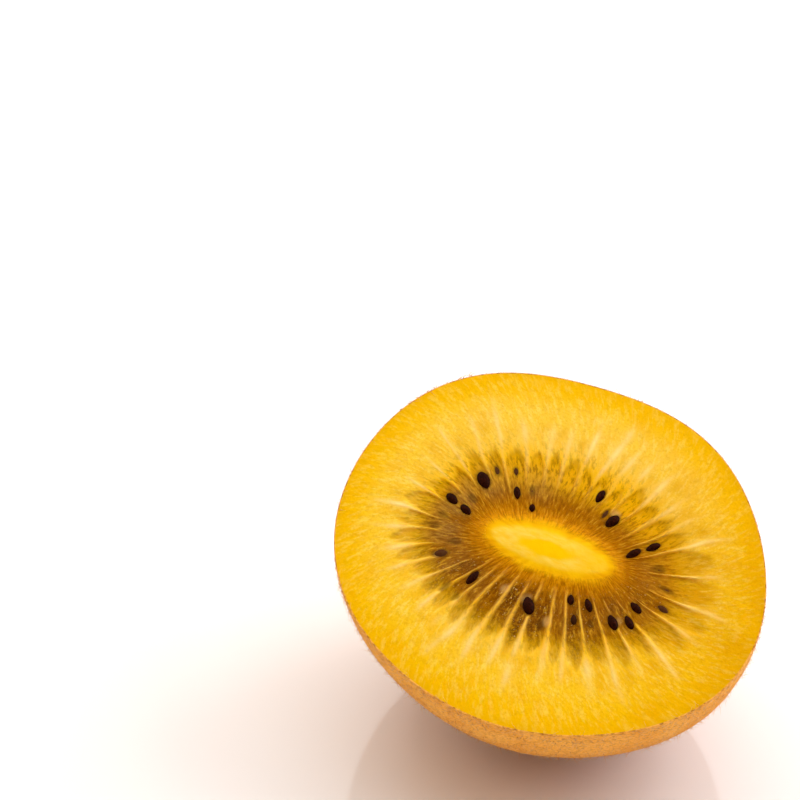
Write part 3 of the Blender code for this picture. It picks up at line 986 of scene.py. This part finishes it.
maps = []
for radius, width, length in (FLECKS_MM, STROKES_MM):
    scale = (radius / width, radius / width, ALONG_MM / length)
    maps.append(add(tree, "Mapping", {"Vector": flow, "Scale": scale}))
outer_zone = add(tree, "MapRange", {"Value": facts["reach"], "From Min": 0.38, "From Max": 0.62})
off_rim = add(tree, "MapRange", {"Value": facts["reach"], "From Min": 1.0, "From Max": 0.7, "To Min": 0.4})
middle_zone = add(tree, "Math", {0: outer_zone, 1: off_rim}, operation="MULTIPLY")
inner_zone = add(tree, "Math", {0: 1.0, 1: outer_zone}, operation="SUBTRACT")
near_core = add(tree, "MapRange", {"Value": facts["reach"], "From Min": 0.22, "From Max": 0.04})
flecks = speckle(tree, maps[0], 1.0, 0.48, 0.66, 0.65)
fine_grain = speckle(tree, fruit, 0.34, 0.48, 0.66, 0.45)
blots = speckle(tree, fruit, 0.9, 0.54, 0.66, 0.5)
clouds = speckle(tree, fruit, 3.8, 0.48, 0.64, 0.5)
dark_strokes = speckle(tree, maps[1], 1.0, 0.50, 0.62, 0.55)
pale_strokes = speckle(tree, maps[1], 1.0, 0.46, 0.32, 0.5)
gel_cells = speckle(tree, fruit, 0.35, 0.30, 0.60, 0.60)
# Painted highlights: pale dots over the gel stand for the glints on its small wet cells.
gel_glints = speckle(tree, fruit, 0.35, 0.62, 0.70, 0.5)
core_grain = speckle(tree, fruit, 0.45, 0.46, 0.62, 0.45)
print(len(tree.nodes), "nodes so far")

# %% [markdown]
# The thread of a ray is drawn from its two facts: it is full on the ray and gone 1.6 widths away. Then all
# the coats go on, from the broad ones to the fine ones, and the core's glow and the seeds' dark blots, with
# the painted shade round the bare seeds, last. The light goes deepest where the tissue is clear, and red
# light goes deeper than blue, which warms the shade.

# %% Flesh material: rays and coats
THREAD_EDGE = 1.6
LIGHT_SHARE = 0.35

from_ray = add(tree, "Math", {0: facts["aside"]}, operation="ABSOLUTE")
thread = add(
    tree, "MapRange", {"Value": from_ray, "From Min": THREAD_EDGE, "From Max": 0.0, "To Max": 0.9},
    interpolation_type="SMOOTHSTEP",
)
thread = add(tree, "Math", {0: thread, 1: facts["ray"]}, operation="MULTIPLY")
# Painted light among these coats: shade on one side of the cut, glints on the gel, and the dark rims round
# the bare seeds.
colour = lay_coats(tree, ground, (
    (clouds, outer_zone, "F2B400"), (flecks, middle_zone, "FFE064"), (blots, outer_zone, "E8B000"),
    (facts["mist"], 0.16, "FFE8A0"), (fine_grain, outer_zone, "E6AC00"), (facts["spot"], 0.6, "E0A400"),
    (facts["feather"], 0.5, "FEDE84"), (facts["golden"], 0.85, "F4B800"), (facts["grey"], 0.5, "A07C40"),
    (facts["gel"], gel_cells, "5C3000"), (dark_strokes, inner_zone, "6E3C00"),
    (pale_strokes, inner_zone, "E8B430"), (core_grain, near_core, "B06400"), (facts["gel"], gel_glints, "E4BC70"),
    (facts["pocket_rim"], 0.25, "8C6400"), (facts["painted_shade_side"], 0.35, "BC7400"), (thread, 0.75, "F4C458"),
    (thread, outer_zone, "FEE290"), (facts["glow"], 1.0, "FCC408"), (facts["film"], 0.5, "D8AC64"),
    (facts["seed_blot_and_shade"], 1.0, "200A06"),
))
grain = add(tree, "Math", {0: gel_cells, 1: dark_strokes}, operation="ADD")
bump = add(tree, "Bump", {"Height": grain, "Distance": 0.05 * MM, "Strength": 0.5})
shine = add(tree, "MapRange", {"Value": flecks, "To Min": 0.28, "To Max": 0.50})
depth = add(tree, "Math", {0: facts["clear"], 1: LIGHT_SHARE}, operation="MULTIPLY")
JUICY = {
    "IOR": 1.36, "Specular IOR Level": 0.12, "Specular Tint": hex_colour("FFC840"), "Subsurface Scale": 1.0,
    "Subsurface Radius": (1.6 * MM, 0.7 * MM, 0.15 * MM),
}
linked = {"Base Color": colour, "Normal": bump, "Roughness": shine, "Subsurface Weight": depth}
finish(tree, shader, linked, JUICY)
flesh.data.materials.append(cut_flesh)

# %% [markdown]
# ## Material of the core
# The pith is firmer than the flesh and not so wet, so it looks paler and a little duller. In its middle is
# a narrow lens of deeper yellow. The colour is mottled along the fibres, the long way of the oval.

# %% Core material
FIBRE_SCALE = (0.5, 1.6, 1.0)

pith, tree, shader, facts = new_material("firm_pale_kiwi_pith", ("glow", "lens", "clear", "pale"))
fruit = add(tree, "Attribute", {}, attribute_name="fruit").outputs["Vector"]
fibre_map = add(tree, "Mapping", {"Vector": fruit, "Scale": FIBRE_SCALE})
fibres = speckle(tree, fibre_map, 1.2, 0.25, 0.75)
mixed = {"Factor_Float": facts["glow"], "A_Color": hex_colour("DC9000"), "B_Color": hex_colour("FCC408")}
ground = add(tree, "Mix", mixed, data_type="RGBA")
colour = lay_coats(tree, ground, ((facts["pale"], fibres, "FDD85C"), (facts["lens"], 1.0, "FCC800")))
grain = speckle(tree, fruit, 0.35, 0.0, 1.0)
bump = add(tree, "Bump", {"Height": grain, "Distance": 0.05 * MM, "Strength": 0.5})
depth = add(tree, "Math", {0: facts["clear"], 1: LIGHT_SHARE}, operation="MULTIPLY")
linked = {"Base Color": colour, "Normal": bump, "Subsurface Weight": depth}
finish(tree, shader, linked, {**JUICY, "Roughness": 0.38})
core.data.materials.append(pith)

# %% [markdown]
# ## Material of the seeds
# A kiwi seed has a hard, finely pitted coat of a brown that is nearly black, under a thin film of juice.
# Seeds that are still in the gel look lighter and browner, so the colour follows how bare a seed is.

# %% Seed material
seed_coat, tree, shader, facts = new_material("pitted_dark_seed_coat", ("bare",))
fruit = add(tree, "Attribute", {}, attribute_name="fruit").outputs["Vector"]
bare = add(tree, "MapRange", {"Value": facts["bare"], "From Min": 0.1, "From Max": 0.8})
pits = speckle(tree, fruit, 0.3, 0.42, 0.70)
mixed = {"Factor_Float": bare, "A_Color": hex_colour("684424"), "B_Color": hex_colour("160402")}
ground = add(tree, "Mix", mixed, data_type="RGBA")
colour = lay_coats(tree, ground, ((pits, 0.6, "441608"),))
bump = add(tree, "Bump", {"Height": pits, "Distance": 0.05 * MM, "Strength": 0.6})
finish(tree, shader, {"Base Color": colour, "Normal": bump}, {
    "IOR": 1.45, "Roughness": 0.26, "Specular IOR Level": 0.05, "Specular Tint": hex_colour("FFB080"),
})
seeds.data.materials.append(seed_coat)

# %% [markdown]
# ## Material of the skin
# The peel is dry and thin, with a corky outer layer that cracks as the fruit grows. That gives it its warm
# tan, mottled with brown specks of 0.4 mm and with brown dashes, 0.7 by 0.2 mm, that lie round the fruit.
# Away from the cut the peel is browner and darker: partly its own browner stem end, partly painted shade on
# the underside. The cut edge has dried to a broken brown line. Round the stem the skin folds into a pale
# lip, and the scar itself is dark, dried tissue. Dry cork hardly shines, so it is quite rough.

# %% Skin material
RIM_SHARE = 0.010
DASH_SCALE = (1.5, 1.5, 4.5)

peel, tree, shader, facts = new_material("dry_corky_kiwi_peel", ("lip", "scar", "share"))
fruit = add(tree, "Attribute", {}, attribute_name="fruit").outputs["Vector"]
dash_map = add(tree, "Mapping", {"Vector": fruit, "Scale": DASH_SCALE})
edge = add(tree, "MapRange", {"Value": facts["share"], "From Min": RIM_SHARE, "From Max": 0.0})
# Partly painted shade: the peel darkens towards its underside, on top of its own browner stem end.
browned_and_shaded = add(tree, "MapRange", {"Value": facts["share"], "From Min": 0.08, "From Max": 0.45})
dashes = speckle(tree, dash_map, 1.0, 0.54, 0.66)
specks = speckle(tree, fruit, 0.42, 0.50, 0.66)
bleached = speckle(tree, fruit, 0.36, 0.46, 0.30)
clouds = speckle(tree, fruit, 6.0, 0.42, 0.66)
dried = speckle(tree, fruit, 0.9, 0.48, 0.66, 0.7)
colour = lay_coats(tree, hex_colour("FEBA50"), (
    (clouds, 0.7, "F0A034"), (browned_and_shaded, 0.8, "B86C2C"), (bleached, 0.45, "FCC884"), (specks, 0.40, "BC641A"),
    (dashes, 0.65, "94420A"), (dried, edge, "9A5818"), (facts["lip"], 0.6, "E3C094"),
    (facts["scar"], 1.0, "4A2412"),
))
relief = add(tree, "Math", {0: bleached, 1: specks}, operation="SUBTRACT")
bump = add(tree, "Bump", {"Height": relief, "Distance": 0.10 * MM, "Strength": 0.6})
linked = {"Base Color": colour, "Normal": bump}
finish(tree, shader, linked, {"IOR": 1.45, "Roughness": 0.75, "Specular IOR Level": 0.10})
skin.data.materials.append(peel)

# %% [markdown]
# ## Material of the hairs
# A hair is a dry thread of dead cells, tan at its root and straw-coloured at its thin tip. The hair shader
# is meant for curves, and these hairs are small meshes, so they get a plain surface whose colour runs along
# the hair.

# %% Hair material
fuzz, tree, shader, facts = new_material("soft_kiwi_fuzz", ("along",))
mixed = {"Factor_Float": facts["along"], "A_Color": hex_colour("D08C40"), "B_Color": hex_colour("F4D4A0")}
colour = add(tree, "Mix", mixed, data_type="RGBA")
finish(tree, shader, {"Base Color": colour}, {"Roughness": 0.6, "Specular IOR Level": 0.3})
for piece in (hairs, tufts):
    piece.data.materials.append(fuzz)

# %% [markdown]
# ## Floor, light and camera
# The fruit lies on a board of glossy white lacquer. A plane that is wider than the view will do for it, with
# so low a roughness that it mirrors the fruit.

# %% Floor
select_nothing()
bpy.ops.mesh.primitive_plane_add(size=4, location=(0, 0, 0))
floor = bpy.context.object
floor.name = "studio_floor"
board, tree, shader, facts = new_material("white_gloss_lacquer")
finish(tree, shader, {}, {"Base Color": hex_colour("FAF9F8"), "Roughness": 0.07, "IOR": 1.5})
floor.data.materials.append(board)

# %% [markdown]
# Food is often photographed with the light behind it, so that its juice shines and its front lies in shade.
# A large soft box stands above and behind the fruit, a second one lower at its right and a weaker one at
# its left, and a small fill stands low in front. The studio's walls are the world's background: dark in
# front of the fruit and brighter behind it. The camera and the mirror images see them all equally bright,
# so that the board looks white.

# %% Light
FRONT_WALL = 0.0
BACK_WALL = 0.50
SEEN_WALL = 1.2
WALL_BLEND = 0.8

scene = bpy.context.scene
world = bpy.data.worlds.new("white_studio")
scene.world = world
world.use_nodes = True
background = world.node_tree.nodes["Background"]
background.inputs["Color"].default_value = hex_colour("FFE4CC")
tree = world.node_tree
direction = add(tree, "TexCoord", {}).outputs["Generated"]
backward = add(tree, "SeparateXYZ", {"Vector": direction}).outputs["Y"]
walls = add(tree, "MapRange", {
    "Value": backward, "From Min": -WALL_BLEND, "From Max": WALL_BLEND,
    "To Min": FRONT_WALL, "To Max": BACK_WALL,
})
light_path = add(tree, "LightPath", {}).outputs
seen_by = {0: light_path["Is Camera Ray"], 1: light_path["Is Glossy Ray"]}
seen = add(tree, "Math", seen_by, operation="MAXIMUM")
brightness = add(tree, "MapRange", {"Value": seen, "To Min": walls, "To Max": SEEN_WALL})
plug(tree, brightness, background.inputs["Strength"])


def soft_lamp(name, place, aim, size, power, code):
    """A square area lamp at a place, turned towards its aim, that the camera doesn't see."""
    lamp = bpy.data.lights.new(name, "AREA")
    lamp.size = size
    lamp.energy = power
    lamp.color = hex_colour(code)[:3]
    holder = bpy.data.objects.new(name, lamp)
    holder.location = place
    holder.rotation_euler = (Vector(aim) - Vector(place)).to_track_quat("-Z", "Y").to_euler()
    holder.visible_camera = False
    bpy.context.collection.objects.link(holder)


soft_lamp("softbox_above", (0.05, 0.20, 0.65), FACE_CENTRE, 0.80, 3.4, "F8FAFF")
soft_lamp("softbox_right", (0.45, 0.10, 0.30), FACE_CENTRE, 0.50, 2.7, "FCFAFF")
soft_lamp("softbox_left", (-0.38, 0.18, 0.36), FACE_CENTRE, 0.50, 1.25, "FFF2E4")
soft_lamp("fill_in_front", (-0.05, -0.50, 0.03), FACE_CENTRE, 0.20, 0.75, "FFF0DC")
scene.view_settings.view_transform = "Standard"

# %% [markdown]
# The camera looks down at the cut from the front, a third of a metre away. Unturned it would look straight
# down, and turned by 90 degrees about X it would look level. A long lens draws the near side of the fruit
# hardly larger than the far side.

# %% Camera
CAMERA_OFFSET = Vector((-19.44, -236.67, 223.97)) * MM
CAMERA_TILT = math.radians(50)
LENS_MM = 112.5

camera_data = bpy.data.cameras.new("camera")
camera_data.lens = LENS_MM
camera_data.sensor_width = 36.0
camera_data.clip_start = 0.01
camera = bpy.data.objects.new("camera", camera_data)
camera.location = FACE_CENTRE + CAMERA_OFFSET
camera.rotation_euler = (CAMERA_TILT, 0, 0)
bpy.context.collection.objects.link(camera)
scene.camera = camera
print("the camera is", round(CAMERA_OFFSET.length, 3), "m from the middle of the cut")
